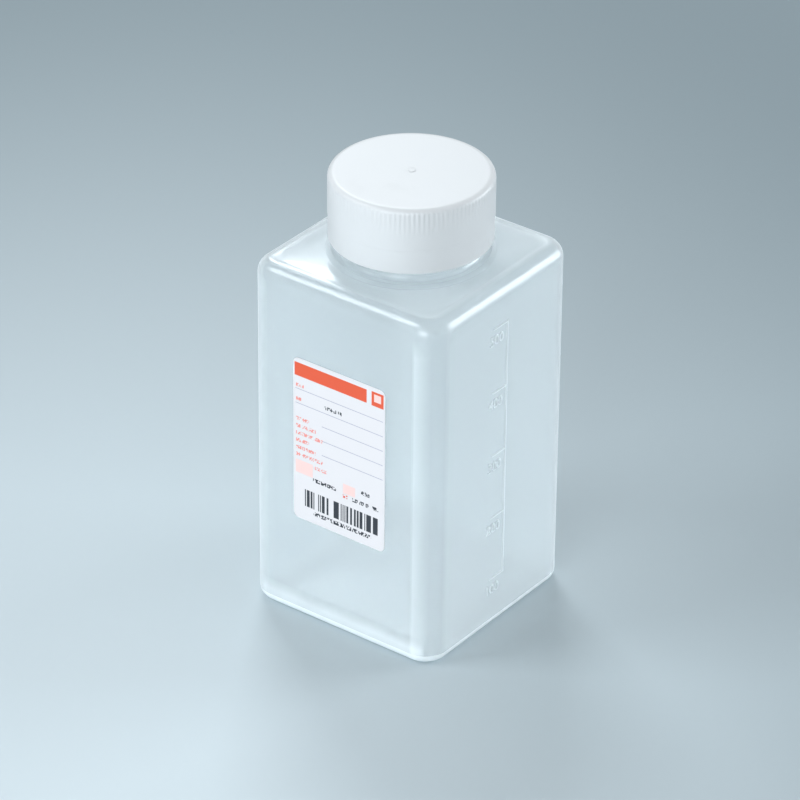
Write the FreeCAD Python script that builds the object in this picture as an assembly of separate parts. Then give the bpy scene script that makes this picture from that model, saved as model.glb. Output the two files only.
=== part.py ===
"""Square 500 ml polypropylene reagent bottle with a ribbed screw cap.

Sizes are in millimetres and +Z is up. The origin is the middle of the standing base.
The writing label is on the -Y side, and the moulded scale is on the +X side.
"""
import FreeCAD, Part
import math
import os

from FreeCAD import Vector

# Blown body: a square shell with rounded corners
body_side = 70.0
corner_radius = 8.0
heel_radius = 3.5
shoulder_radius = 5.0
shoulder_height = 119.6
wall = 1.2
base_wall = 1.6
push_up_inset = 7.5
push_up_depth = 1.2
push_up_slope = 1.5

# Round step that carries the neck
step_ledge = 2.5
step_slope = 1.4
step_rise = 1.2
step_foot_rounding = 1.2
step_top_rounding = 0.6

# Wide neck
neck_radius = 21.7
neck_wall = 1.6
neck_height = 23.1
neck_root_rounding = 1.2
rim_rounding = 0.4

# Screw cap and its sealing disc
thread_room = 1.6
cap_wall = 1.8
cap_roof = 1.8
cap_gap = 3.8
cap_top_rounding = 1.8
cap_lip_rounding = 0.5
cap_root_rounding = 0.25
rib_count = 110
rib_depth = 0.45
rib_height = 9.0
rib_share = 0.75
gate_nub_radius = 1.1
gate_nub_height = 0.4
gate_pit_width = 0.6
gate_pit_depth = 0.5
liner_thickness = 1.5
liner_clearance = 0.4
liner_rounding = 0.3

# Paper label on the -Y side
label_width = 34.6
label_height = 56.4
label_bottom = 36.0
label_corner = 2.0
label_thickness = 0.12

# Moulded scale on the +X side: each step holds the same volume, in cubic millimetres
scale_step_volume = 100000.0
scale_first_mark = 18.2
scale_offset = 1.3
scale_tick_length = 7.0
scale_line_width = 0.7
scale_relief = 0.35

# Sizes that follow from the driving dimensions
half_side = body_side / 2
inner_side = body_side - 2 * wall
inner_corner_radius = corner_radius - wall
inner_area = inner_side ** 2 - (4 - math.pi) * inner_corner_radius ** 2
scale_step = scale_step_volume / inner_area
step_top_radius = neck_radius + step_ledge
step_foot_radius = step_top_radius + step_slope
rim_height = shoulder_height + neck_height
liner_top = rim_height + liner_thickness
cap_top = liner_top + cap_roof
cap_bottom = shoulder_height + step_rise + cap_gap
cap_bore_radius = neck_radius + thread_room
cap_radius = cap_bore_radius + cap_wall
liner_radius = cap_bore_radius - liner_clearance
axis_up = Vector(0, 0, 1)
centre = Vector(0, 0, 0)
level_tolerance = 1e-6


def rounded_wire(corners):
    """Closed wire through the corners, each given as (point, rounding radius)."""
    edges = []
    first = None
    last = None
    for index, (point, radius) in enumerate(corners):
        before = corners[index - 1][0]
        after = corners[(index + 1) % len(corners)][0]
        back = (before - point).normalize()
        ahead = (after - point).normalize()
        start = point
        end = point
        if radius > 0:
            half_angle = back.getAngle(ahead) / 2
            start = point + back * (radius / math.tan(half_angle))
            end = point + ahead * (radius / math.tan(half_angle))
            inward = (back + ahead).normalize()
            middle = point + inward * (radius / math.sin(half_angle) - radius)
        if last is None:
            first = start
        else:
            edges.append(Part.LineSegment(last, start).toShape())
        if radius > 0:
            edges.append(Part.Arc(start, middle, end).toShape())
        last = end
    edges.append(Part.LineSegment(last, first).toShape())
    return Part.Wire(edges)


def turned(profile):
    """Solid of revolution about the bottle's axis, from (radius, height, rounding) corners."""
    corners = [(Vector(radius, 0, height), rounding) for radius, height, rounding in profile]
    return Part.Face(rounded_wire(corners)).revolve(centre, axis_up, 360)


def square_wire(side, radius, height):
    """Level square outline with rounded corners, centred on the axis."""
    half = side / 2
    signs = ((1, 1), (-1, 1), (-1, -1), (1, -1))
    return rounded_wire([(Vector(half * sx, half * sy, height), radius) for sx, sy in signs])


def square_block(side, radius, bottom, top, bottom_rounding, top_rounding):
    """Upright square block with rounded corners and rounded end edges."""
    face = Part.Face(square_wire(side, radius, bottom))
    block = face.extrude(axis_up * (top - bottom))

    def edges_at(solid, height):
        level = [edge for edge in solid.Edges if edge.BoundBox.ZLength < level_tolerance]
        return [edge for edge in level if abs(edge.BoundBox.ZMax - height) < level_tolerance]

    block = block.makeFillet(bottom_rounding, edges_at(block, bottom))
    return block.makeFillet(top_rounding, edges_at(block, top))


def push_up(side, radius, bottom):
    """Shallow raised panel with sloping sides, as used under and inside the base."""
    low = square_wire(side, radius, bottom)
    high = square_wire(side - 2 * push_up_slope, radius - push_up_slope, bottom + push_up_depth)
    return Part.makeLoft([low, high], True, True)


def neck_form(foot, step, neck, floor, rim_edge):
    """Turned step and neck that rise to the rim from a shoulder at the given floor height."""
    flare = foot + step_foot_rounding
    return turned([
        (0, floor - wall, 0),
        (flare, floor - wall, 0),
        (flare, floor, 0),
        (foot, floor, step_foot_rounding),
        (step, floor + step_rise, step_top_rounding),
        (neck, floor + step_rise, neck_root_rounding),
        (neck, rim_height, rim_edge),
        (0, rim_height, 0),
    ])


def make_scale():
    """Raised vertical line with a level tick at each mark, rooted in the +X side."""
    depth = scale_relief + wall / 2
    root = half_side - wall / 2
    half_line = scale_line_width / 2
    highest = shoulder_height - shoulder_radius - scale_line_width
    steps = int((highest - scale_first_mark) // scale_step)
    foot = Vector(root, scale_offset - half_line, scale_first_mark - half_line)
    line = Part.makeBox(depth, scale_line_width, scale_step * steps + scale_line_width, foot)
    ticks = []
    for mark in range(steps + 1):
        height = scale_first_mark + scale_step * mark
        end = Vector(root, scale_offset - scale_tick_length, height - half_line)
        ticks.append(Part.makeBox(depth, scale_tick_length, scale_line_width, end))
    return line.fuse(ticks).removeSplitter()


def make_bottle_body():
    """Thin shell: square outside with its stepped neck, less the same form one wall smaller."""
    shoulder_edge = min(shoulder_radius, inner_corner_radius)
    heel_edge = min(heel_radius, inner_corner_radius)
    outside = square_block(body_side, corner_radius, 0, shoulder_height, heel_edge, shoulder_edge)
    outside = outside.fuse(
        neck_form(step_foot_radius, step_top_radius, neck_radius, shoulder_height, rim_rounding))

    ceiling = shoulder_height - wall
    inside = square_block(
        inner_side, inner_corner_radius, base_wall, ceiling, heel_edge - wall, shoulder_edge - wall)
    panel_side = body_side - 2 * push_up_inset
    inside = inside.cut(push_up(panel_side + 2 * base_wall, corner_radius, base_wall))
    inside = inside.fuse(
        neck_form(step_foot_radius - wall, step_top_radius - wall, neck_radius - neck_wall, ceiling, 0))
    shell = outside.cut(inside).cut(push_up(panel_side, corner_radius, 0))
    return shell.fuse(make_scale()).removeSplitter()


def make_cap_liner():
    """Soft disc that the cap presses on the rim."""
    return turned([
        (0, rim_height, 0),
        (liner_radius, rim_height, liner_rounding),
        (liner_radius, liner_top, liner_rounding),
        (0, liner_top, 0),
    ])


def make_cap_groove():
    """Wedge for one gap between two ribs: full depth at the top, running out at its foot."""
    half_width = math.pi * cap_radius / rib_count * rib_share
    slope = rib_depth / rib_height
    outer = cap_radius + rib_depth
    sides = ((cap_radius - rib_depth, 0), (outer, 2 * half_width), (outer, -2 * half_width))
    top = [Vector(x, y, cap_top) for x, y in sides]
    section = Part.Face(Part.makePolygon(top + top[:1]))
    drop = rib_height * 2
    return section.extrude(Vector(slope * drop, 0, -drop))


def make_screw_cap():
    """Cup-shaped cap with a ribbed grip band and the moulding gate in a small pit."""
    cap = turned([
        (0, cap_top, 0),
        (cap_radius, cap_top, cap_top_rounding),
        (cap_radius, cap_bottom, cap_lip_rounding),
        (cap_bore_radius, cap_bottom, cap_lip_rounding),
        (cap_bore_radius, liner_top, cap_root_rounding),
        (0, liner_top, 0),
    ])
    pit_floor = cap_top - gate_pit_depth
    pit_radius = gate_nub_radius + gate_pit_width
    nub_top = pit_floor + gate_nub_height
    pit = turned([
        (0, cap_top, 0),
        (pit_radius + gate_pit_depth, cap_top, 0),
        (pit_radius, pit_floor, 0),
        (gate_nub_radius, pit_floor, 0),
        (gate_nub_radius, nub_top, gate_nub_height / 2),
        (0, nub_top, 0),
    ])
    groove = make_cap_groove()
    grooves = []
    for index in range(rib_count):
        copy = groove.copy()
        copy.rotate(centre, axis_up, 360 * index / rib_count)
        grooves.append(copy)
    return cap.cut([pit] + grooves)


def make_front_label():
    """Thin paper sheet with rounded corners, flat against the -Y side."""
    half_width = label_width / 2
    label_top = label_bottom + label_height
    ends = ((-half_width, label_bottom), (half_width, label_bottom),
            (half_width, label_top), (-half_width, label_top))
    outline = rounded_wire([(Vector(x, -half_side, z), label_corner) for x, z in ends])
    return Part.Face(outline).extrude(Vector(0, -label_thickness, 0))


def main():
    os.makedirs("parts", exist_ok=True)
    pieces = {
        "bottle_body": make_bottle_body(),
        "screw_cap": make_screw_cap(),
        "cap_liner": make_cap_liner(),
        "front_label": make_front_label(),
    }
    for name, shape in pieces.items():
        box = shape.BoundBox
        print(name, "valid", shape.isValid(), "solids", len(shape.Solids), "faces", len(shape.Faces),
              "volume", round(shape.Volume, 1), "height", round(box.ZMin, 2), round(box.ZMax, 2))
        shape.exportStep("parts/" + name + ".step")


main()
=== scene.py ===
# %% [markdown]
# # A square reagent bottle
# The bottle is two plastic mouldings, a sealing disc and a paper label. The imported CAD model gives
# every size and place. This lesson models a finer mesh over each CAD piece, the way a modeller would by
# hand, then gives each one its finish and lights it as in a small product studio.

# %% Load the frame
import math

import bmesh
import bpy
from mathutils import Matrix, Vector


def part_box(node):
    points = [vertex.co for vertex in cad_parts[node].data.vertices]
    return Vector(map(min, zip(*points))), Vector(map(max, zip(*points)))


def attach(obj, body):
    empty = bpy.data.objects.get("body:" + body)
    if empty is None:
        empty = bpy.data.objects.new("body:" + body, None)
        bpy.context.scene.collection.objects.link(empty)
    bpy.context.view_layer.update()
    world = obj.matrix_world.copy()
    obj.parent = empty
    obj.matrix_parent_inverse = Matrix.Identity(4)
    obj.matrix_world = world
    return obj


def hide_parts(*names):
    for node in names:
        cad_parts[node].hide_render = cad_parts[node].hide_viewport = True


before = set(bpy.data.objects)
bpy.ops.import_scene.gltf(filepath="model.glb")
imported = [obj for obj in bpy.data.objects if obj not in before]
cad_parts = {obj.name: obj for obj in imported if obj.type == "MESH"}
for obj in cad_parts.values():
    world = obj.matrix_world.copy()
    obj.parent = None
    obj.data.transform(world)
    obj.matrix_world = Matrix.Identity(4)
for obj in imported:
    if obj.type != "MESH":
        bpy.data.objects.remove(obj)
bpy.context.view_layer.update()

MM = 0.001
NEAR_ZERO = 0.001 * MM

# %% [markdown]
# ## Tools for the bench
# Operators act on whatever is selected, so each step starts from nothing selected. `pick` selects parts
# of a mesh in edit mode by a test on their place, which stands in for the clicks of a hand modeller.

# %% Selection helpers
def deselect():
    """Leaves nothing selected, so that the next primitive is alone."""
    bpy.ops.object.select_all(action="DESELECT")


def take(piece):
    """Makes one object the only selected and active one."""
    deselect()
    piece.select_set(True)
    bpy.context.view_layer.objects.active = piece


def name_piece(name):
    """Names the active object and its mesh, and puts its place into the mesh."""
    piece = bpy.context.object
    piece.name = name
    piece.data.name = name
    bpy.ops.object.transform_apply(location=True, rotation=True, scale=True)
    return piece


def edit():
    bpy.ops.object.mode_set(mode="EDIT")


def leave_edit():
    bpy.ops.object.mode_set(mode="OBJECT")


def pick(kind, test):
    """In edit mode, selects the verts, edges or faces that pass the test, and returns how many."""
    modes = {"verts": "VERT", "edges": "EDGE", "faces": "FACE"}
    bpy.ops.mesh.select_mode(type=modes[kind])
    bpy.ops.mesh.select_all(action="DESELECT")
    mesh = bmesh.from_edit_mesh(bpy.context.object.data)
    found = [item for item in getattr(mesh, kind) if test(item)]
    for item in found:
        item.select_set(True)
    mesh.select_flush_mode()
    bmesh.update_edit_mesh(bpy.context.object.data)
    return len(found)


def level_at(height):
    """Test for an edge or face that lies level at the given height."""
    return lambda item: all(abs(vert.co.z - height) < NEAR_ZERO for vert in item.verts)


# %% Shaping helpers
def resize(scale, centre):
    bpy.ops.transform.resize(value=scale, center_override=centre)


def extrude(x, y, z):
    """In edit mode, extrudes what is selected by the given move."""
    bpy.ops.mesh.extrude_region_move(TRANSFORM_OT_translate={"value": (x, y, z)})


def round_off(width, steps, affect="EDGES"):
    """In edit mode, rounds what is selected with an arc of the given steps."""
    bpy.ops.mesh.bevel(offset=width, segments=steps, profile=0.5, affect=affect, clamp_overlap=False)


def face_outwards():
    """In edit mode, merges doubles and turns every face outwards."""
    bpy.ops.mesh.select_all(action="SELECT")
    bpy.ops.mesh.remove_doubles(threshold=NEAR_ZERO)
    bpy.ops.mesh.normals_make_consistent(inside=False)


def apply_modifier(piece, kind, **settings):
    """Adds a modifier with the given settings and applies it to the mesh."""
    take(piece)
    modifier = piece.modifiers.new(kind.lower(), kind)
    for key, value in settings.items():
        setattr(modifier, key, value)
    bpy.ops.object.modifier_apply(modifier=modifier.name)


def unite(piece, *others):
    """Joins closed meshes into one skin and removes the ones that were added."""
    for other in others:
        apply_modifier(piece, "BOOLEAN", operation="UNION", solver="EXACT", object=other)
        bpy.data.objects.remove(other)


def smooth(piece, degrees):
    """Smooth shading that keeps edges sharper than the given angle."""
    take(piece)
    bpy.ops.object.shade_smooth_by_angle(angle=math.radians(degrees))


def report(piece):
    """Prints a piece's triangles and its size."""
    triangles = sum(len(face.vertices) - 2 for face in piece.data.polygons)
    print(piece.name, "triangles", triangles, "size mm", [round(d / MM, 2) for d in piece.dimensions])


# %% [markdown]
# ## Camera
# The photographer stood to the right of the label side and looked down by about thirty degrees with a
# long lens, so the sides hardly converge. The camera is placed by angle, distance and a small sideways
# move that puts the bottle where it sits in the frame.

# %% Place the camera
VIEW_AZIMUTH = math.radians(36.89)
VIEW_ELEVATION = math.radians(31.0)
VIEW_ROLL = math.radians(0.51)
VIEW_DISTANCE = 1453.1 * MM
LENS = 214.9
aim = Vector((0, 0, 70.0 * MM))
frame_shift = (-2.92 * MM, -2.83 * MM)

level_right = Vector((math.cos(VIEW_AZIMUTH), math.sin(VIEW_AZIMUTH), 0))
level_near = Vector((math.sin(VIEW_AZIMUTH), -math.cos(VIEW_AZIMUTH), 0))
back = level_near * math.cos(VIEW_ELEVATION) + Vector((0, 0, math.sin(VIEW_ELEVATION)))
rise = back.cross(level_right)
right = level_right * math.cos(VIEW_ROLL) + rise * math.sin(VIEW_ROLL)
up = back.cross(right)

deselect()
bpy.ops.object.camera_add()
camera = bpy.context.object
camera.data.lens = LENS
camera.matrix_world = Matrix((right, up, back)).transposed().to_4x4()
camera.location = aim + back * VIEW_DISTANCE + right * frame_shift[0] + up * frame_shift[1]
bpy.context.scene.camera = camera
print("camera at", [round(value, 3) for value in camera.location])

# %% [markdown]
# ## Bottle shell
# The real body is blown: a soft tube of plastic is inflated in a square mould, so it is one thin wall
# with soft corners everywhere. It could be a bevelled cube, but then the round neck would have to be cut
# in. Here a square plate gets round corners, grows up into the walls, and its top edge is bridged to a
# ring that climbs the neck. Solidify then gives the wall its thickness in one go.

# %% Sizes of the shell
body_low, body_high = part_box("bottle_body")
side = body_high.y - body_low.y
rim_height = body_high.z
CORNER_RADIUS = 8.0 * MM
HEEL_RADIUS = 3.5 * MM
SHOULDER_RADIUS = 5.0 * MM
SHOULDER_HEIGHT = 119.6 * MM
SHOULDER_CROWN = 0.5 * MM
WALL = 1.2 * MM
CORNER_STEPS = 10
SIDE_STEPS = 18
RING_COUNT = 4 * (CORNER_STEPS + SIDE_STEPS)
print("side", round(side / MM, 2), "mm, rim at", round(rim_height / MM, 2), "mm")

# %% Square plate with round corners
deselect()
bpy.ops.mesh.primitive_plane_add(size=side)
shell = name_piece("bottle_shell")
edit()
bpy.ops.mesh.select_all(action="SELECT")
round_off(CORNER_RADIUS, CORNER_STEPS, "VERTICES")
pick("edges", lambda edge: edge.calc_length() > CORNER_RADIUS)
bpy.ops.mesh.subdivide(number_cuts=SIDE_STEPS - 1)
print("corners of the plate:", len(bmesh.from_edit_mesh(shell.data).verts), "wanted", RING_COUNT)

# %% Walls, heel and shoulder edge
WALL_STEPS = 34
HEEL_STEPS = 6
SHOULDER_STEPS = 8
pick("edges", lambda edge: edge.is_boundary)
extrude(0, 0, SHOULDER_HEIGHT)
bpy.ops.mesh.edge_face_add()
face_outwards()
pick("edges", level_at(0))
round_off(HEEL_RADIUS, HEEL_STEPS)
pick("edges", level_at(SHOULDER_HEIGHT))
round_off(SHOULDER_RADIUS, SHOULDER_STEPS)
uprights = pick("edges", lambda edge: edge.calc_length() > side)
bpy.ops.mesh.subdivide(number_cuts=WALL_STEPS - 1)
print("uprights in the walls:", uprights, "each in", WALL_STEPS, "steps")

# %% Push-up under the base
PUSH_UP_INSET = 7.5 * MM
PUSH_UP_SLOPE = 1.5 * MM
PUSH_UP_DEPTH = 1.2 * MM
PUSH_UP_ROUNDING = 0.6 * MM
PUSH_UP_ROUNDING_STEPS = 2
standing_side = side - 2 * HEEL_RADIUS
panel_side = side - 2 * PUSH_UP_INSET
panel_floor = panel_side - 2 * PUSH_UP_SLOPE
pick("faces", level_at(0))
extrude(0, 0, 0)
shrink = panel_side / standing_side
resize((shrink, shrink, 1), (0, 0, 0))
extrude(0, 0, PUSH_UP_DEPTH)
shrink = panel_floor / panel_side
resize((shrink, shrink, 1), (0, 0, 0))
panel_edge = level_at(PUSH_UP_DEPTH)
ring_edge = level_at(0)
reach = panel_side / 2 + NEAR_ZERO
softened = pick("edges", lambda edge: panel_edge(edge) or ring_edge(edge) and all(
    max(abs(vert.co.x), abs(vert.co.y)) < reach for vert in edge.verts))
round_off(PUSH_UP_ROUNDING, PUSH_UP_ROUNDING_STEPS)
print("push-up panel", round(panel_floor / MM, 2), "mm wide, edges rounded:", softened)

# %% Step and neck
def rounded_profile(corners, steps):
    """Points through (radius, height, rounding) corners, with arcs of the given steps."""
    points = []
    for index, (radius, height, rounding) in enumerate(corners):
        here = Vector((radius, height))
        if rounding == 0:
            points.append(here)
            continue
        before = (Vector(corners[index - 1][:2]) - here).normalized()
        after = (Vector(corners[index + 1][:2]) - here).normalized()
        half = before.angle(after) / 2
        middle = here + (before + after).normalized() * (rounding / math.sin(half))
        start = here + before * (rounding / math.tan(half)) - middle
        turn = start.angle_signed(here + after * (rounding / math.tan(half)) - middle)
        for step in range(steps + 1):
            points.append(middle + Matrix.Rotation(-turn * step / steps, 2) @ start)
    return points


def climb(points, radius):
    """Extrudes the selected ring along (radius, height) points, and scales each new ring to its radius."""
    for point in points:
        mesh = bmesh.from_edit_mesh(bpy.context.object.data)
        height = next(vert.co.z for vert in mesh.verts if vert.select)
        extrude(0, 0, point.y - height)
        scale = point.x / radius
        resize((scale, scale, 1), (0, 0, point.y))
        radius = point.x


NECK_RADIUS = 21.7 * MM
STEP_TOP_RADIUS = 24.2 * MM
STEP_FOOT_RADIUS = 25.6 * MM
STEP_HEIGHT = 120.8 * MM
STEP_FOOT_ROUNDING = 1.2 * MM
STEP_TOP_ROUNDING = 0.6 * MM
NECK_ROOT_ROUNDING = 1.2 * MM
NECK_ARC_STEPS = 4
SHOULDER_CUTS = 4
foot_height = SHOULDER_HEIGHT + SHOULDER_CROWN / 2
flare_radius = STEP_FOOT_RADIUS + STEP_FOOT_ROUNDING
neck_points = rounded_profile([
    (flare_radius, foot_height, 0),
    (STEP_FOOT_RADIUS, foot_height, STEP_FOOT_ROUNDING),
    (STEP_TOP_RADIUS, STEP_HEIGHT, STEP_TOP_ROUNDING),
    (NECK_RADIUS, STEP_HEIGHT, NECK_ROOT_ROUNDING),
    (NECK_RADIUS, rim_height, 0)], NECK_ARC_STEPS)
pick("faces", level_at(SHOULDER_HEIGHT))
bpy.ops.mesh.delete(type="ONLY_FACE")
pick("edges", lambda edge: edge.is_boundary)
bpy.ops.transform.translate(value=(0, 0, -SHOULDER_CROWN / 2))
bpy.ops.mesh.primitive_circle_add(
    vertices=RING_COUNT, radius=flare_radius, location=(0, 0, foot_height))
pick("edges", lambda edge: edge.is_boundary or edge.is_wire)
bpy.ops.mesh.bridge_edge_loops(number_cuts=SHOULDER_CUTS, interpolation="LINEAR")
pick("edges", lambda edge: edge.is_boundary)
climb(neck_points[1:], flare_radius)
face_outwards()
leave_edit()
report(shell)

# %% Wall thickness and a soft rim
RIM_ROUNDING = 0.4 * MM
RIM_STEPS = 3
RIM_ANGLE = 1.0
apply_modifier(
    shell, "SOLIDIFY", thickness=WALL, offset=-1, use_even_offset=True, use_quality_normals=True)
edit()
rim_edges = level_at(rim_height)
pick("edges", lambda edge: rim_edges(edge) and edge.calc_face_angle(0) > RIM_ANGLE)
round_off(RIM_ROUNDING, RIM_STEPS)
leave_edit()
report(shell)

# %% [markdown]
# ## Neck thread
# A screw thread is one ridge that winds round the neck. It could be cut as a groove, but a blown neck
# carries the ridge on top of its wall. One trapezoid is swept round and up by the Screw modifier, its two
# ends are sunk into the wall so that the ridge runs out, and a Boolean joins it to the shell.

# %% One helical ridge
THREAD_PITCH = 5.0 * MM
THREAD_ROOT_WIDTH = 2.2 * MM
THREAD_CREST_WIDTH = 1.0 * MM
THREAD_STEPS = 60
RUN_OUT_STEPS = 4
RUN_OUT_SHARE = 0.9
SAME_STEP = 0.25 / THREAD_STEPS


def add_thread(name, root_radius, crest_radius, start_height, turns):
    """Ridge that winds up round the axis from the given height, with ends that run out into its root."""
    middle = Vector(((root_radius + crest_radius) / 2, 0, start_height))
    deselect()
    bpy.ops.mesh.primitive_plane_add(size=1, location=middle, rotation=(math.pi / 2, 0, 0))
    ridge = name_piece(name)
    edit()
    bpy.ops.mesh.select_all(action="SELECT")
    resize((abs(crest_radius - root_radius), 1, THREAD_ROOT_WIDTH), middle)
    pick("verts", lambda vert: abs(vert.co.x - crest_radius) < NEAR_ZERO)
    resize((1, 1, THREAD_CREST_WIDTH / THREAD_ROOT_WIDTH), middle)
    bpy.ops.mesh.select_all(action="SELECT")
    bpy.ops.mesh.delete(type="ONLY_FACE")
    leave_edit()
    steps = round(THREAD_STEPS * turns)
    apply_modifier(
        ridge, "SCREW", axis="Z", angle=turns * math.tau, screw_offset=turns * THREAD_PITCH,
        steps=steps, render_steps=steps, use_smooth_shade=False)

    def progress(vert):
        """Turns from the start of the ridge to this vertex."""
        turn = math.atan2(vert.co.y, vert.co.x) / math.tau
        return turn + round((vert.co.z - start_height) / THREAD_PITCH - turn)

    edit()
    bpy.ops.mesh.select_all(action="SELECT")
    bpy.ops.mesh.fill_holes(sides=4)
    for step in range(RUN_OUT_STEPS):
        depth = (crest_radius - root_radius) * step / RUN_OUT_STEPS * RUN_OUT_SHARE
        sunk = (root_radius + depth) / crest_radius
        for place in (step / THREAD_STEPS, turns - step / THREAD_STEPS):
            pick("verts", lambda vert: abs(progress(vert) - place) < SAME_STEP
                 and abs(vert.co.xy.length - crest_radius) < NEAR_ZERO)
            resize((sunk, sunk, 1), (0, 0, 0))
    face_outwards()
    leave_edit()
    report(ridge)
    return ridge


NECK_THREAD_START = 127.0 * MM
NECK_THREAD_TURNS = 1.6
NECK_THREAD_CREST = 23.0 * MM
neck_thread = add_thread(
    "neck_thread", NECK_RADIUS - WALL / 2, NECK_THREAD_CREST, NECK_THREAD_START, NECK_THREAD_TURNS)
unite(shell, neck_thread)
report(shell)

# %% [markdown]
# ## Moulded scale
# The mould has a vertical line with ticks cut into one wall, so the plastic stands out there. The marks
# could be a bump in the material, but real relief catches the light at its edges. Bars and numerals are
# modelled as small solids, sunk half-way into the wall, and joined to the shell.

# %% Sizes of the scale
SCALE_RELIEF = 0.35 * MM
SCALE_WIDTH = 0.7 * MM
SCALE_LINE_Y = 1.3 * MM
SCALE_TICK = 7.0 * MM
SCALE_EDGE = 0.15 * MM
SCALE_EDGE_STEPS = 2
TICK_DROP = 0.05 * MM
FIRST_MARK = 18.2 * MM
MARK_VOLUME = 100e-6
MARK_NUMBER = 100
MARKS = 5
NUMERAL_SIZE = 4.6 * MM
NUMERAL_Y = -4.1 * MM
NUMERAL_DROP = 4.0 * MM
NUMERAL_CURVE_STEPS = 3
SPECK = 0.01 * MM

inner_side = side - 2 * WALL
inner_area = inner_side ** 2 - (4 - math.pi) * (CORNER_RADIUS - WALL) ** 2
mark_step = MARK_VOLUME / inner_area
wall_x = side / 2
bar_depth = WALL / 2 + SCALE_RELIEF
bar_x = wall_x + SCALE_RELIEF - bar_depth / 2
print("one step of the scale:", round(mark_step / MM, 2), "mm")

# %% Bars and numerals
def add_bar(name, x, y, z, width, height):
    """Raised bar on the scale's wall, with a soft outer edge."""
    deselect()
    bpy.ops.mesh.primitive_cube_add(size=1, location=(x, y, z), scale=(bar_depth, width, height))
    bar = name_piece(name)
    edit()
    pick("edges", lambda edge: all(vert.co.x > x for vert in edge.verts))
    round_off(SCALE_EDGE, SCALE_EDGE_STEPS)
    leave_edit()
    return bar


def add_numeral(text, y, z):
    """Raised number that reads from the outside of the scale's wall."""
    deselect()
    bpy.ops.object.text_add()
    writing = bpy.context.object
    writing.data.body = text
    writing.data.size = NUMERAL_SIZE
    writing.data.extrude = bar_depth / 2
    writing.data.align_x = "CENTER"
    writing.data.align_y = "CENTER"
    writing.data.resolution_u = NUMERAL_CURVE_STEPS
    bpy.ops.object.convert(target="MESH")
    writing = bpy.context.object
    writing.location = (bar_x, y, z)
    writing.rotation_euler = (math.pi / 2, 0, math.pi / 2)
    writing = name_piece("numeral")
    edit()
    face_outwards()
    bpy.ops.mesh.dissolve_degenerate(threshold=SPECK)
    leave_edit()
    return writing


# %% Join the scale to the shell
line_length = mark_step * (MARKS - 1)
line_middle = FIRST_MARK + line_length / 2
scale_bars = add_bar(
    "scale_line", bar_x, SCALE_LINE_Y, line_middle, SCALE_WIDTH, line_length + SCALE_WIDTH + TICK_DROP)
for mark in range(MARKS):
    mark_height = FIRST_MARK + mark * mark_step
    tick = add_bar(
        "tick", bar_x - TICK_DROP, SCALE_LINE_Y - SCALE_TICK / 2, mark_height, SCALE_TICK, SCALE_WIDTH)
    numeral = add_numeral(str(MARK_NUMBER * (mark + 1)), NUMERAL_Y, mark_height - NUMERAL_DROP)
    unite(scale_bars, tick, numeral)
take(scale_bars)
edit()
bpy.ops.mesh.select_all(action="SELECT")
bpy.ops.mesh.fill_holes(sides=3)
bpy.ops.mesh.dissolve_degenerate(threshold=SPECK)
leave_edit()
report(scale_bars)
unite(shell, scale_bars)
report(shell)

# %% [markdown]
# ## Screw cap
# The cap is injection moulded: a cup with a fine ribbed grip band, a soft top edge and the small mark of
# the gate in the middle of its top. Under the ribs a plain band is set back a little. The ribs could be
# separate bars, but in the mould they are waves of one wall. So one ring of points climbs the whole
# profile, from the gate mark over the top, down the skirt and back up the bore, and the points between
# the ribs are then drawn inwards. Two extra rings keep the wide top flat, so that its shading doesn't
# bend towards the gate and the rim.

# %% Profile of the cap
cap_low, cap_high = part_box("screw_cap")
cap_radius = cap_high.x
cap_top = cap_high.z
cap_bottom = cap_low.z
liner_low, liner_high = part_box("cap_liner")
CAP_BORE_RADIUS = 23.3 * MM
CAP_TOP_ROUNDING = 1.8 * MM
CAP_LIP_ROUNDING = 0.5 * MM
CAP_ROOT_ROUNDING = 0.4 * MM
RIBS = 110
RIB_DEPTH = 0.22 * MM
RIB_HEIGHT = 9.0 * MM
RIB_ROWS = 6
PLAIN_BAND_TOP = 132.4 * MM
PLAIN_BAND_STEP = 0.12 * MM
GATE_RADIUS = 1.1 * MM
GATE_PIT = 0.05 * MM
GATE_HEIGHT = 0.3 * MM
GATE_ROUNDING = 0.28 * MM
GATE_PIT_RADIUS = 1.7 * MM
RING_GAP = 0.4 * MM
POINTS_PER_RIB = 4
CAP_ARC_STEPS = 5

rib_foot = cap_top - RIB_HEIGHT
pit_floor = cap_top - GATE_PIT
gate_top = pit_floor + GATE_HEIGHT
gate_start = GATE_RADIUS / 2
skirt_top = cap_top - CAP_TOP_ROUNDING
rib_rows = [
    (cap_radius, skirt_top + (rib_foot - skirt_top) * row / RIB_ROWS, 0) for row in range(1, RIB_ROWS + 1)]
cap_points = rounded_profile([
    (gate_start, gate_top, 0),
    (GATE_RADIUS, gate_top, GATE_ROUNDING),
    (GATE_RADIUS, pit_floor, 0),
    (GATE_PIT_RADIUS, pit_floor, 0),
    (GATE_PIT_RADIUS + GATE_PIT, cap_top, 0),
    (GATE_PIT_RADIUS + GATE_PIT + RING_GAP, cap_top, 0),
    (cap_radius - CAP_TOP_ROUNDING - RING_GAP, cap_top, 0),
    (cap_radius, cap_top, CAP_TOP_ROUNDING),
    *rib_rows,
    (cap_radius, PLAIN_BAND_TOP, 0),
    (cap_radius - PLAIN_BAND_STEP, PLAIN_BAND_TOP - PLAIN_BAND_STEP, 0),
    (cap_radius - PLAIN_BAND_STEP, cap_bottom, CAP_LIP_ROUNDING),
    (CAP_BORE_RADIUS, cap_bottom, CAP_LIP_ROUNDING),
    (CAP_BORE_RADIUS, liner_high.z, CAP_ROOT_ROUNDING),
    (GATE_RADIUS, liner_high.z, 0)], CAP_ARC_STEPS)
print("points in the cap's profile:", len(cap_points))

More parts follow.
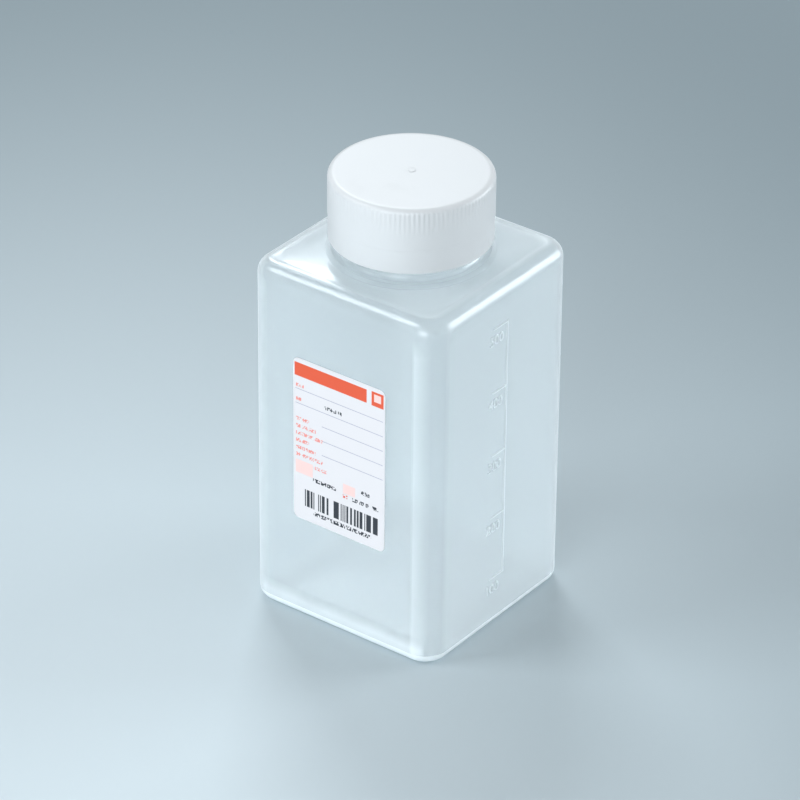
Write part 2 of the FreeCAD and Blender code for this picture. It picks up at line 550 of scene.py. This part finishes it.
# %% Turn the profile and draw in the gaps between the ribs
deselect()
bpy.ops.mesh.primitive_circle_add(
    vertices=POINTS_PER_RIB * RIBS, radius=gate_start, fill_type="NGON", location=(0, 0, gate_top))
cap = name_piece("cap_moulding")
edit()
pick("edges", lambda edge: edge.is_boundary)
climb(cap_points[1:], gate_start)
bpy.ops.mesh.edge_face_add()
face_outwards()


def between_ribs(vert):
    """True for the two points of each rib's four that lie in the gap."""
    column = math.atan2(vert.co.y, vert.co.x) / math.tau * POINTS_PER_RIB * RIBS
    return round(column) % POINTS_PER_RIB >= POINTS_PER_RIB / 2


for point in cap_points:
    gap_radius = cap_radius - RIB_DEPTH * min(1, (point.y - rib_foot) / RIB_HEIGHT)
    if rib_foot < point.y < cap_top and point.x > gap_radius:
        pick("verts", lambda vert: abs(vert.co.z - point.y) < NEAR_ZERO and between_ribs(vert)
             and vert.co.xy.length > gap_radius)
        resize((gap_radius / point.x, gap_radius / point.x, 1), (0, 0, 0))
leave_edit()
report(cap)

# %% Thread inside the cap
CAP_THREAD_TURNS = 1.4
CAP_THREAD_CREST = 22.1 * MM
CAP_SKIRT_BITE = 0.6 * MM
cap_thread = add_thread(
    "cap_thread", CAP_BORE_RADIUS + CAP_SKIRT_BITE, CAP_THREAD_CREST,
    NECK_THREAD_START + THREAD_PITCH / 2, CAP_THREAD_TURNS)
unite(cap, cap_thread)
report(cap)

# %% [markdown]
# ## Sealing disc
# A soft disc lies inside the cap's roof and is pressed on the rim. It is hidden while the cap is on, and
# shows when the cap is lifted. A ring climbs a short profile with soft edges, and a shallow track shows
# where the rim has pressed into it.

# %% Disc with the track of the rim
LINER_ROUNDING = 0.3 * MM
TRACK_DEPTH = 0.12 * MM
TRACK_MARGIN = 0.3 * MM
LINER_STEPS = 128
LINER_ARC_STEPS = 4
liner_radius = liner_high.x
track_inner = NECK_RADIUS - WALL - TRACK_MARGIN
track_outer = NECK_RADIUS + TRACK_MARGIN
liner_centre = track_inner / 2
liner_points = rounded_profile([
    (liner_centre, liner_low.z, 0),
    (track_inner - TRACK_MARGIN, liner_low.z, 0),
    (track_inner, liner_low.z + TRACK_DEPTH, 0),
    (track_outer, liner_low.z + TRACK_DEPTH, 0),
    (track_outer + TRACK_MARGIN, liner_low.z, 0),
    (liner_radius, liner_low.z, LINER_ROUNDING),
    (liner_radius, liner_high.z, LINER_ROUNDING),
    (liner_centre, liner_high.z, 0)], LINER_ARC_STEPS)
deselect()
bpy.ops.mesh.primitive_circle_add(
    vertices=LINER_STEPS, radius=liner_centre, fill_type="NGON", location=(0, 0, liner_low.z))
liner = name_piece("liner_disc")
edit()
pick("edges", lambda edge: edge.is_boundary)
climb(liner_points[1:], liner_centre)
bpy.ops.mesh.edge_face_add()
face_outwards()
leave_edit()
report(liner)

# %% [markdown]
# ## Paper label
# The label is a sheet of coated paper with round corners, stuck flat on one wall. A plane stood upright is
# scaled to the CAD label, its corners are bevelled, and it is extruded to the thickness of paper. It
# stands a hair off the wall, as its glue does, so that the two faces don't fight.

# %% Sheet
LABEL_CORNER = 2.0 * MM
LABEL_CORNER_STEPS = 6
GLUE = 0.02 * MM
label_low, label_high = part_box("front_label")
label_middle = (label_low + label_high) / 2
label_back = label_high.y - GLUE
deselect()
bpy.ops.mesh.primitive_plane_add(
    size=1, location=(label_middle.x, label_back, label_middle.z), rotation=(math.pi / 2, 0, 0))
label = name_piece("label_sheet")
edit()
bpy.ops.mesh.select_all(action="SELECT")
resize((label_high.x - label_low.x, 1, label_high.z - label_low.z), label_middle)
round_off(LABEL_CORNER, LABEL_CORNER_STEPS, "VERTICES")
bpy.ops.mesh.select_all(action="SELECT")
extrude(0, label_low.y - label_back, 0)
face_outwards()
leave_edit()
report(label)

# %% [markdown]
# ## Finishes
# Every finish is built from nodes on Object coordinates, so a pattern stays on its piece when the piece
# moves. Plain numbers go on the shader's own sockets. Patterns that more than one finish uses are node
# groups, which are built once here and placed in each material with their own values.

# %% Node helpers
def feed(tree, socket, value):
    """Links another node's output to a socket, or sets the socket's plain value."""
    if isinstance(value, bpy.types.NodeSocket):
        tree.links.new(value, socket)
    else:
        socket.default_value = value


def add_node(tree, kind, inputs=None, **settings):
    """Adds a shader node with its settings and feeds the inputs that are named."""
    node = tree.nodes.new("ShaderNode" + kind)
    for key, value in settings.items():
        setattr(node, key, value)
    for name, value in (inputs or {}).items():
        feed(tree, node.inputs[name], value)
    return node


def calc(tree, operation, *terms):
    """Math node on numbers or sockets, which gives its result."""
    node = add_node(tree, "Math", operation=operation)
    for socket, term in zip(node.inputs, terms):
        feed(tree, socket, term)
    return node.outputs["Value"]


def multiply(tree, *terms):
    """Product of any number of values."""
    product = terms[0]
    for term in terms[1:]:
        product = calc(tree, "MULTIPLY", product, term)
    return product


def ramp(tree, value, start, end, low=0.0, high=1.0):
    """Goes from low to high as a value goes from start to end, and stays there beyond."""
    node = add_node(tree, "MapRange", {
        "Value": value, "From Min": start, "From Max": end, "To Min": low, "To Max": high})
    return node.outputs["Result"]


def spread(tree, value, low, high):
    """Stretches a value of 0 to 1 over the given range."""
    return calc(tree, "MULTIPLY_ADD", value, high - low, low)


def blend_colours(tree, amount, first, second):
    """Mixes two colours, each a plain colour or a socket."""
    node = add_node(tree, "Mix", {"Factor": amount}, data_type="RGBA")
    feed(tree, node.inputs["A"], first)
    feed(tree, node.inputs["B"], second)
    return node.outputs["Result"]


def colour(red, green, blue):
    """Colour from the 0 to 255 values of a paint program."""
    def linear(value):
        share = value / 255
        return share / 12.92 if share <= 0.04045 else ((share + 0.055) / 1.055) ** 2.4
    return (linear(red), linear(green), linear(blue), 1)


def new_group(name, vectors, values, outputs):
    """Starts a node group with vector and value inputs, and gives its tree and its two ends."""
    tree = bpy.data.node_groups.new(name, "ShaderNodeTree")
    for socket in vectors:
        tree.interface.new_socket(socket, in_out="INPUT", socket_type="NodeSocketVector")
    for socket in values:
        tree.interface.new_socket(socket, in_out="INPUT", socket_type="NodeSocketFloat")
    for socket in outputs:
        tree.interface.new_socket(socket, in_out="OUTPUT", socket_type="NodeSocketFloat")
    return tree, tree.nodes.new("NodeGroupInput").outputs, tree.nodes.new("NodeGroupOutput").inputs


def place_group(tree, group, inputs):
    """Places a node group in a tree, and gives its outputs."""
    return add_node(tree, "Group", inputs, node_tree=group).outputs


def new_material(name):
    """Starts a material, and gives it with its tree, its shader and its Object coordinates."""
    material = bpy.data.materials.new(name)
    material.use_nodes = True
    tree = material.node_tree
    place = add_node(tree, "TexCoord").outputs["Object"]
    return material, tree, tree.nodes["Principled BSDF"], place


def set_constants(shader, **values):
    """Sets plain values on a shader's sockets, whose names have spaces in place of underscores."""
    for name, value in values.items():
        shader.inputs[name.replace("_", " ")].default_value = value


# %% [markdown]
# ### Moulded skin and handling marks
# A moulded wall isn't perfectly even. It copies the fine texture of the mould, and broad soft waves stay
# from the way the plastic flowed. Handling adds fine hairline scuffs in patches. Both effects are used by
# the body and by the cap, so each is a group.

# %% Moulded skin group
BROAD_SCALE = 0.03
BROAD_HEIGHT = 2.0
skin_group, given, result = new_group("moulded_skin", ["Place"], ["Grain"], ["Height", "Flow"])
fine = add_node(
    skin_group, "TexNoise", {"Vector": given["Place"], "Scale": given["Grain"], "Detail": 2.0})
broad_scale = calc(skin_group, "MULTIPLY", given["Grain"], BROAD_SCALE)
broad = add_node(
    skin_group, "TexNoise", {"Vector": given["Place"], "Scale": broad_scale, "Detail": 2.0})
broad_height = calc(skin_group, "MULTIPLY", broad.outputs["Fac"], BROAD_HEIGHT)
feed(skin_group, result["Height"], calc(skin_group, "ADD", fine.outputs["Fac"], broad_height))
feed(skin_group, result["Flow"], broad.outputs["Fac"])
print("moulded_skin:", len(skin_group.nodes), "nodes")

# %% Handling marks group
SCUFF_TURN = (0.4, 0.7, 0.5)
SCUFF_STRETCH = (0.15, 0.15, 4.0)
HAIR_EDGE = (0.6, 0.68)
PATCH_SCALE = 0.06
PATCH_EDGE = (0.45, 0.7)
marks_group, given, result = new_group("handling_marks", ["Place"], ["Density", "Amount"], ["Scuffs"])
stretched = add_node(
    marks_group, "Mapping", {"Vector": given["Place"], "Rotation": SCUFF_TURN, "Scale": SCUFF_STRETCH})
hairs = add_node(
    marks_group, "TexNoise",
    {"Vector": stretched.outputs["Vector"], "Scale": given["Density"], "Detail": 3.0, "Distortion": 0.6})
hair_mask = ramp(marks_group, hairs.outputs["Fac"], *HAIR_EDGE)
patch_scale = calc(marks_group, "MULTIPLY", given["Density"], PATCH_SCALE)
patches = add_node(marks_group, "TexNoise", {"Vector": given["Place"], "Scale": patch_scale})
patch_mask = ramp(marks_group, patches.outputs["Fac"], *PATCH_EDGE)
feed(marks_group, result["Scuffs"], multiply(marks_group, hair_mask, patch_mask, given["Amount"]))
print("handling_marks:", len(marks_group.nodes), "nodes")

# %% Surface of a moulding
def dress_moulding(tree, shader, place, grain, density, amount, roughness, scuffed, tints, bump, depth):
    """Feeds a shader with the colour, roughness and fine relief of a moulded wall."""
    skin = place_group(tree, skin_group, {"Place": place, "Grain": grain})
    marks = place_group(tree, marks_group, {"Place": place, "Density": density, "Amount": amount})
    flow_roughness = spread(tree, skin["Flow"], *roughness)
    worn_roughness = calc(tree, "MULTIPLY_ADD", marks["Scuffs"], scuffed, flow_roughness)
    relief = add_node(tree, "Bump", {"Height": skin["Height"], "Strength": bump, "Distance": depth})
    feed(tree, shader.inputs["Base Color"], blend_colours(tree, skin["Flow"], *tints))
    feed(tree, shader.inputs["Roughness"], worn_roughness)
    feed(tree, shader.inputs["Normal"], relief.outputs["Normal"])


# %% [markdown]
# ### Milky plastic
# Polypropylene lets light through but scatters it, so the bottle glows and shows only soft shapes
# through its walls. A volume would do this with much noise. Here each skin of the wall is slightly rough
# glass with a share of light that is scattered onwards, and the two skins of each wall together give the
# milky look. A low index keeps light from being trapped between the skins, and a clear coat gives the
# gloss of the real index. Where the wall is seen at a slant, the view passes through more plastic, so a
# white haze takes over there. The same white is laid in soft bands as painted light: a painted highlight
# streak by the front corner and the corner opposite it, and a painted glow above the heel on the label
# wall and the wall opposite, where the heel's thicker plastic is part of it. The base and the raised scale
# are thicker still, so they take the same finish with less clearness.

# %% Painted highlight and glow bands
# Painted highlight streak by the front corner and the corner opposite it, on the label wall's side.
CORNER_BAND_START = 26.8 * MM
CORNER_BAND_PEAK = 27.9 * MM
CORNER_BAND_END = 32.5 * MM
CORNER_BAND_FADE = (114 * MM, 108 * MM)
CORNER_PAINTED_HIGHLIGHT = 0.26
# Painted glow above the heel on the label wall and the wall opposite, partly the heel's thicker plastic.
HEEL_BAND_FADE = (9.5 * MM, 5.5 * MM)
HEEL_BAND_TURN = (33.5 * MM, 34.8 * MM)
HEEL_THICK_AND_PAINTED_GLOW = (0.3, 0.6)


def find_painted_light_bands(tree, place):
    """Share of painted white: a highlight by two corners and a glow above the heel, partly its thicker
    plastic.
    """
    apart = add_node(tree, "SeparateXYZ", {"Vector": place}).outputs
    across = calc(tree, "ABSOLUTE", apart["X"])
    depth = calc(tree, "ABSOLUTE", apart["Y"])
    diagonal = calc(tree, "MULTIPLY", apart["X"], apart["Y"])
    diagonal_reach = (side / 2) ** 2
    # Painted highlight streak by the front corner and the corner opposite it.
    corner = multiply(
        tree,
        ramp(tree, across, CORNER_BAND_START, CORNER_BAND_PEAK),
        ramp(tree, across, CORNER_BAND_END, CORNER_BAND_PEAK),
        ramp(tree, apart["Z"], *CORNER_BAND_FADE),
        calc(tree, "GREATER_THAN", depth, CORNER_BAND_START),
        calc(tree, "LESS_THAN", diagonal, 0.0))
    # Painted glow above the heel, only on the label wall and the wall opposite and stronger towards the
    # streaked corners; the heel's thicker plastic is part of it.
    heel = multiply(
        tree,
        ramp(tree, apart["Z"], *HEEL_BAND_FADE),
        ramp(tree, depth, *HEEL_BAND_TURN),
        ramp(tree, diagonal, diagonal_reach, -diagonal_reach, *HEEL_THICK_AND_PAINTED_GLOW))
    return calc(tree, "MULTIPLY_ADD", corner, CORNER_PAINTED_HIGHLIGHT, heel)


# %% Milky plastic
SCATTERED_ONWARDS = 0.2
SCATTERED_TINT = (0.95, 0.99, 1.0, 1)
SLANT_BLEND = 0.1
HAZE_SLANT = (0.08, 0.38)
HAZE_TINT = (0.93, 0.98, 1.0, 1)
HAZE_ROUGHNESS = 0.3
WALL_SKIN = {
    "grain": 900.0, "density": 500.0, "amount": 0.2, "roughness": (0.13, 0.2), "scuffed": 0.1,
    "tints": ((0.955, 0.985, 1.0, 1), (0.975, 0.995, 1.0, 1)), "bump": 0.03, "depth": 0.5 * MM}


def mix_shaders(tree, amount, first, second):
    """Mixes two shaders' outputs."""
    node = add_node(tree, "MixShader", {"Fac": amount})
    feed(tree, node.inputs[1], first)
    feed(tree, node.inputs[2], second)
    return node.outputs["Shader"]


def make_milky_plastic(name, clearness):
    """Rough glass that scatters light onwards, with a white haze and painted light bands that only the
    camera sees.
    """
    material, tree, shader, place = new_material(name)
    dress_moulding(tree, shader, place, **WALL_SKIN)
    set_constants(
        shader, IOR=1.12, Transmission_Weight=clearness, Sheen_Weight=1.0, Sheen_Roughness=0.35,
        Coat_Weight=1.0, Coat_Roughness=0.14, Coat_IOR=1.49)
    onward = add_node(tree, "BsdfTranslucent", {"Color": SCATTERED_TINT})
    milky = mix_shaders(tree, SCATTERED_ONWARDS, shader.outputs["BSDF"], onward.outputs["BSDF"])
    slant = add_node(tree, "LayerWeight", {"Blend": SLANT_BLEND}).outputs["Facing"]
    # The cover is the painted highlight and glow bands plus the haze at a slant.
    cover = calc(tree, "ADD", find_painted_light_bands(tree, place), ramp(tree, slant, *HAZE_SLANT))
    seen = add_node(tree, "LightPath").outputs["Is Camera Ray"]
    haze = add_node(tree, "BsdfPrincipled", {"Base Color": HAZE_TINT, "Roughness": HAZE_ROUGHNESS})
    surface = mix_shaders(tree, multiply(tree, cover, seen), milky, haze.outputs["BSDF"])
    feed(tree, tree.nodes["Material Output"].inputs["Surface"], surface)
    return material


# %% Wall, scale and base
WALL_CLEARNESS = 0.88
SCALE_CLEARNESS = 0.6
BASE_CLEARNESS = 0.0
BASE_LEVEL = 4.0 * MM
SCALE_LEVEL = 35.05 * MM
SCALE_SLOT = 1
BASE_SLOT = 2
SHELL_SMOOTH = 40
for name, clearness in (
        ("milky_plastic", WALL_CLEARNESS),
        ("milky_plastic_scale", SCALE_CLEARNESS),
        ("milky_plastic_base", BASE_CLEARNESS)):
    shell.data.materials.append(make_milky_plastic(name, clearness))
for polygon in shell.data.polygons:
    if polygon.center.z < BASE_LEVEL:
        polygon.material_index = BASE_SLOT
    elif polygon.center.x > SCALE_LEVEL:
        polygon.material_index = SCALE_SLOT
smooth(shell, SHELL_SMOOTH)
print("shell finishes:", [material.name for material in shell.data.materials])

# %% [markdown]
# ### White plastic and the liner
# The cap has the same plastic with white pigment, so light goes only a little way in and comes out
# again. Subsurface scattering gives that softness at its edges. The liner is a foamed disc with fine
# closed cells.

# %% White plastic
MOULDING_SMOOTH = 35
CAP_SKIN = {
    "grain": 1100.0, "density": 600.0, "amount": 1.0, "roughness": (0.3, 0.42), "scuffed": 0.15,
    "tints": ((0.745, 0.75, 0.755, 1), (0.77, 0.77, 0.77, 1)), "bump": 0.05, "depth": 0.4 * MM}


def make_white_plastic():
    """Pigmented plastic with a little light under its skin."""
    material, tree, shader, place = new_material("white_plastic")
    dress_moulding(tree, shader, place, **CAP_SKIN)
    set_constants(
        shader, IOR=1.49, Subsurface_Weight=0.3, Subsurface_Radius=(1.0, 1.0, 1.0),
        Subsurface_Scale=1.2 * MM)
    return material


cap.data.materials.append(make_white_plastic())
smooth(cap, MOULDING_SMOOTH)
print("cap finish:", cap.data.materials[0].name)

# %% Foamed liner
FOAM_CELLS = 2200.0
FOAM_TINTS = ((0.8, 0.82, 0.82, 1), (0.88, 0.89, 0.88, 1))
FOAM_ROUGHNESS = (0.5, 0.7)


def make_liner_foam():
    """Pale foam with fine closed cells."""
    material, tree, shader, place = new_material("liner_foam")
    cells = add_node(tree, "TexVoronoi", {"Vector": place, "Scale": FOAM_CELLS}).outputs["Distance"]
    bump = add_node(tree, "Bump", {"Height": cells, "Strength": 0.35, "Distance": 0.15 * MM})
    feed(tree, shader.inputs["Base Color"], blend_colours(tree, cells, *FOAM_TINTS))
    feed(tree, shader.inputs["Roughness"], spread(tree, cells, *FOAM_ROUGHNESS))
    feed(tree, shader.inputs["Normal"], bump.outputs["Normal"])
    return material


liner.data.materials.append(make_liner_foam())
smooth(liner, MOULDING_SMOOTH)
print("liner finish:", liner.data.materials[0].name)

# %% [markdown]
# ### Label print
# The label is a writing form printed in orange, red and black on white: a bare band and box, ruled lines,
# rows of strokes that only stand for small type, and a random bar pattern. It could be a picture, but
# marks made by nodes stay sharp at any distance. Each mark is a mask in millimetres across and up the
# label, laid over the front of the paper one after the other. A mark is listed as its ink, the middle of
# its place across and up, its width and its height.

# %% Groups for printed marks
block_group, given, result = new_group(
    "printed_block", [], ["Across", "Up", "Middle", "Level", "Width", "Height"], ["Ink"])
half_width = calc(block_group, "MULTIPLY", given["Width"], 0.5)
half_height = calc(block_group, "MULTIPLY", given["Height"], 0.5)
feed(block_group, result["Ink"], calc(
    block_group, "MULTIPLY",
    calc(block_group, "COMPARE", given["Across"], given["Middle"], half_width),
    calc(block_group, "COMPARE", given["Up"], given["Level"], half_height)))

STROKES_PER_WORD = 7.0
stroke_group, given, result = new_group(
    "stroke_pattern", [], ["Across", "Up", "Stroke", "Row", "Seed", "Share"], ["Ink"])
column = calc(stroke_group, "FLOOR", calc(stroke_group, "DIVIDE", given["Across"], given["Stroke"]))
row = calc(stroke_group, "FLOOR", calc(stroke_group, "DIVIDE", given["Up"], given["Row"]))
cell = add_node(stroke_group, "CombineXYZ", {"X": column, "Y": row, "Z": given["Seed"]})
chance = add_node(stroke_group, "TexWhiteNoise", {"Vector": cell.outputs["Vector"]})
inked = calc(stroke_group, "LESS_THAN", chance.outputs["Value"], given["Share"])
in_word = calc(stroke_group, "FLOORED_MODULO", column, STROKES_PER_WORD)
feed(stroke_group, result["Ink"], calc(
    stroke_group, "MULTIPLY", inked, calc(stroke_group, "GREATER_THAN", in_word, 0.5)))
print("groups:", [group.name for group in bpy.data.node_groups])

# %% Layout of the label
ORANGE = colour(233, 92, 58)
PALE_RED = colour(240, 150, 140)
PINK = colour(250, 214, 208)
RULE = colour(176, 172, 190)
INK = colour(48, 52, 60)

RULES = 5
LONG_RULES = 2
RULE_TOP = 81.7
RULE_STEP = 5.05
RULE_END = 16.5
SHORT_RULE_START = -6.5
RULE_THICKNESS = 0.22
SMALL_TYPE_ROWS = 6
SMALL_TYPE_TOP = 71.3
SMALL_TYPE_STEP = 2.52
SMALL_TYPE_START = -16.4
SMALL_TYPE_HEIGHT = 1.2
SMALL_TYPE_SHORTEST = 5.0
SMALL_TYPE_GROWTH = 2.6
SMALL_TYPE_LENGTHS = 3
blocks = [
    (ORANGE, -3.2, 88.5, 27.2, 4.6),
    (ORANGE, 14.45, 88.55, 4.5, 4.9),
    (PINK, 14.45, 88.9, 2.6, 2.6),
    (PINK, -13.2, 54.5, 6.6, 4.6),
    (PINK, 3.9, 53.0, 4.6, 3.4)]
for line in range(RULES):
    start = -RULE_END if line < LONG_RULES else SHORT_RULE_START
    level = RULE_TOP - line * RULE_STEP
    blocks.append((RULE, (start + RULE_END) / 2, level, RULE_END - start, RULE_THICKNESS))
strokes = [
    (INK, -2.2, 78.6, 6.4, 1.2),
    (PALE_RED, -14.8, 83.0, 3.0, 1.1),
    (PALE_RED, -15.3, 78.2, 2.0, 1.1),
    (PALE_RED, -7.0, 56.0, 5.2, 1.1),
    (INK, -5.5, 51.5, 8.8, 1.3),
    (INK, 10.0, 54.0, 3.2, 1.4),
    (ORANGE, 2.4, 50.3, 1.8, 1.2),
    (INK, 8.2, 50.2, 6.2, 1.3),
    (INK, 14.0, 50.2, 2.6, 1.3),
    (INK, 1.3, 39.5, 22.0, 1.4)]
for line in range(SMALL_TYPE_ROWS):
    length = SMALL_TYPE_SHORTEST + SMALL_TYPE_GROWTH * (line % SMALL_TYPE_LENGTHS)
    level = SMALL_TYPE_TOP - line * SMALL_TYPE_STEP
    strokes.append((PALE_RED, SMALL_TYPE_START + length / 2, level, length, SMALL_TYPE_HEIGHT))
bars = [(INK, -8.2, 44.1, 9.6, 6.0), (INK, 6.4, 44.1, 16.8, 6.0)]
print("label marks:", len(blocks), "blocks,", len(strokes), "stroke rows,", len(bars), "bar groups")

# %% Printed paper
FIBRES = 2500.0
PAPER_TINTS = ((0.8, 0.765, 0.775, 1), (0.83, 0.79, 0.8, 1))
PAPER_ROUGHNESS = (0.4, 0.55)
TYPE_PATTERN = {"Stroke": 0.34, "Row": 0.45, "Share": 0.62}
BAR_PATTERN = {"Stroke": 0.36, "Row": 100.0, "Share": 0.7}


def make_label_paper():
    """Coated paper with the print on its front."""
    material, tree, shader, place = new_material("label_paper")
    apart = add_node(tree, "SeparateXYZ", {"Vector": place})
    across = calc(tree, "DIVIDE", apart.outputs["X"], MM)
    level = calc(tree, "DIVIDE", apart.outputs["Z"], MM)
    on_front = calc(tree, "LESS_THAN", apart.outputs["Y"], label_middle.y)
    fibres = add_node(tree, "TexNoise", {"Vector": place, "Scale": FIBRES, "Detail": 4.0}).outputs["Fac"]

    def print_marks(shade, marks, pattern=None):
        """Lays a list of marks over the sheet, each through the pattern if there is one."""
        for seed, (ink, middle, height, width, tall) in enumerate(marks):
            mask = place_group(tree, block_group, {
                "Across": across, "Up": level, "Middle": middle, "Level": height,
                "Width": width, "Height": tall})["Ink"]
            if pattern:
                texture = place_group(tree, stroke_group, {
                    "Across": across, "Up": level, "Seed": float(seed), **pattern})["Ink"]
                mask = calc(tree, "MULTIPLY", mask, texture)
            shade = blend_colours(tree, calc(tree, "MULTIPLY", mask, on_front), shade, ink)
        return shade

    shade = print_marks(blend_colours(tree, fibres, *PAPER_TINTS), blocks)
    shade = print_marks(shade, strokes, TYPE_PATTERN)
    shade = print_marks(shade, bars, BAR_PATTERN)
    bump = add_node(tree, "Bump", {"Height": fibres, "Strength": 0.08, "Distance": 0.1 * MM})
    feed(tree, shader.inputs["Base Color"], shade)
    feed(tree, shader.inputs["Roughness"], spread(tree, fibres, *PAPER_ROUGHNESS))
    feed(tree, shader.inputs["Normal"], bump.outputs["Normal"])
    return material


label.data.materials.append(make_label_paper())
print("label finish:", label.data.materials[0].name)

# %% [markdown]
# ## Stage
# The bottle stands on a wide matt table with a pool of light round it. The pool could come from a spot
# lamp, but that would also burn out the white cap, so it is painted on the table as a smooth change of
# tone. Four soft boxes stand round the bottle. The one behind throws the soft shadow forwards, the one at
# the left draws the bright shoulder edge, and the low ones at the right and in front fill the walls and
# the side of the cap. A pale sky lifts the rest. The lamps are kept at a plain level, so that colours
# render about as they are written.

# %% Table
TABLE_DIM = colour(133, 145, 150)
TABLE_BRIGHT = colour(211, 221, 225)
POOL_RIGHT = -100 * MM
POOL_NEAR = 140 * MM
POOL_RADIUS = 640 * MM
POOL_SQUEEZE = 1.45
TABLE_SIZE = 6


def make_table_top():
    """Matt top that goes from bright in the pool to dim outside it."""
    material, tree, shader, place = new_material("table_top")

    def along(direction, start):
        """Distance from the middle of the bright pool, in the given direction."""
        distance = add_node(tree, "VectorMath", operation="DOT_PRODUCT")
        feed(tree, distance.inputs[0], place)
        feed(tree, distance.inputs[1], direction)
        return calc(tree, "SUBTRACT", distance.outputs["Value"], start)

    across = calc(tree, "MULTIPLY", along(level_right, POOL_RIGHT), POOL_SQUEEZE)
    offset = add_node(tree, "CombineXYZ", {"X": across, "Y": along(level_near, POOL_NEAR)})
    distance = add_node(tree, "VectorMath", operation="LENGTH")
    feed(tree, distance.inputs[0], offset.outputs["Vector"])
    pool = add_node(
        tree, "MapRange",
        {"Value": distance.outputs["Value"], "From Min": POOL_RADIUS, "From Max": 0.0},
        interpolation_type="SMOOTHSTEP")
    shade = blend_colours(tree, pool.outputs["Result"], TABLE_DIM, TABLE_BRIGHT)
    feed(tree, shader.inputs["Base Color"], shade)
    set_constants(shader, Roughness=0.6, Specular_IOR_Level=0.3)
    return material


deselect()
bpy.ops.mesh.primitive_plane_add(size=TABLE_SIZE)
floor = name_piece("floor")
floor.data.materials.append(make_table_top())
print("table", TABLE_SIZE, "m wide, pool of light", round(2 * POOL_RADIUS, 2), "m deep")

# %% World and lamps
SKY_COLOUR = (0.91, 0.965, 1.0, 1)
SKY_STRENGTH = 0.36
DAYLIGHT = (0.88, 0.95, 1.0)
world = bpy.data.worlds.new("studio")
bpy.context.scene.world = world
world.use_nodes = True
sky = world.node_tree.nodes["Background"].inputs
sky["Color"].default_value = SKY_COLOUR
sky["Strength"].default_value = SKY_STRENGTH


def add_soft_box(name, near, sideways, height, size, power):
    """Square area lamp that faces the bottle, placed as the camera sees it."""
    place = level_near * near + level_right * sideways + Vector((0, 0, height))
    deselect()
    bpy.ops.object.light_add(type="AREA", location=place)
    lamp = bpy.context.object
    lamp.name = name
    lamp.data.shape = "SQUARE"
    lamp.data.size = size
    lamp.data.energy = power
    lamp.data.color = DAYLIGHT
    lamp.rotation_euler = (aim - place).to_track_quat("-Z", "Y").to_euler()
    print(name, [round(value, 2) for value in place], "m,", power, "W")


add_soft_box("back_light", near=-0.85, sideways=-0.15, height=0.9, size=0.45, power=6.1)
add_soft_box("left_light", near=0.15, sideways=-0.75, height=0.8, size=0.4, power=3.5)
add_soft_box("right_light", near=-0.3, sideways=1.0, height=0.25, size=0.6, power=8.8)
add_soft_box("front_light", near=1.0, sideways=-0.4, height=0.25, size=0.6, power=7.8)

# %% [markdown]
# ## Motion and hand-over
# The shell and its label stay with the bottle, and the cap and its liner rise along the neck as the cap
# is unscrewed. So each mesh is tied to the body it moves with and takes the place of its CAD piece. The
# render then only needs enough bounces for light to pass through both skins of both walls.

# %% What each piece rides on
for piece, body, node, slot in (
        (shell, "bottle", "bottle_body", "milky_plastic"),
        (cap, "cap", "screw_cap", "white_plastic"),
        (liner, "liner", "cap_liner", "liner_foam"),
        (label, "bottle", "front_label", "label_paper")):
    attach(piece, body)
    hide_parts(node)
    print(piece.name, "rides on", body, "for", node)

# %% Finish
scene = bpy.context.scene
scene.view_settings.view_transform = "Standard"
scene.cycles.max_bounces = 32
scene.cycles.diffuse_bounces = 16
scene.cycles.glossy_bounces = 12
scene.cycles.transmission_bounces = 32
